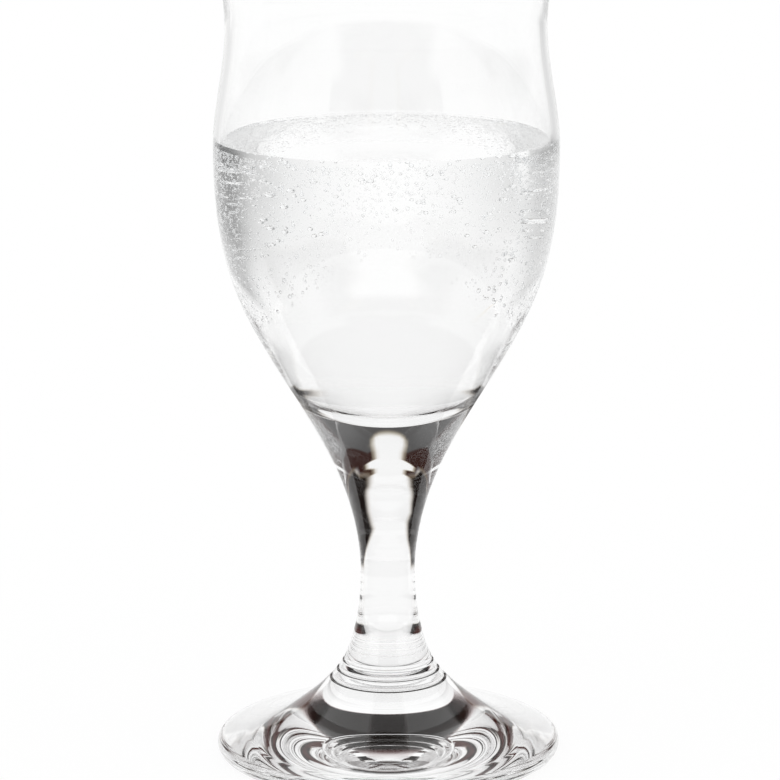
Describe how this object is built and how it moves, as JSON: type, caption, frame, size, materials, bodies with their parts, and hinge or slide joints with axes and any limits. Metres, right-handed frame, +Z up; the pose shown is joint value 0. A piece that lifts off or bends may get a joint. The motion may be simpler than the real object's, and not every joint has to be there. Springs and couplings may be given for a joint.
{
  "type": "stemmed beer glass",
  "caption": "Clear tulip beer glass on a short waisted stem and a wide flared foot, part filled with a clear sparkling drink; stands on a table.",
  "frame": {"origin": "centre of the standing ring under the foot, on the table", "axes": "+Z up along the axis of the glass; +X and +Y level, the glass is round about +Z"},
  "size_m": [0.0816, 0.0816, 0.184],
  "materials": {
    "glass": "clear polished soda-lime glass",
    "drink": "clear sparkling drink"
  },
  "bodies": {
    "root": {"bowl": "glass", "stem": "glass", "foot": "glass", "drink": "drink"}
  },
  "joints": []
}
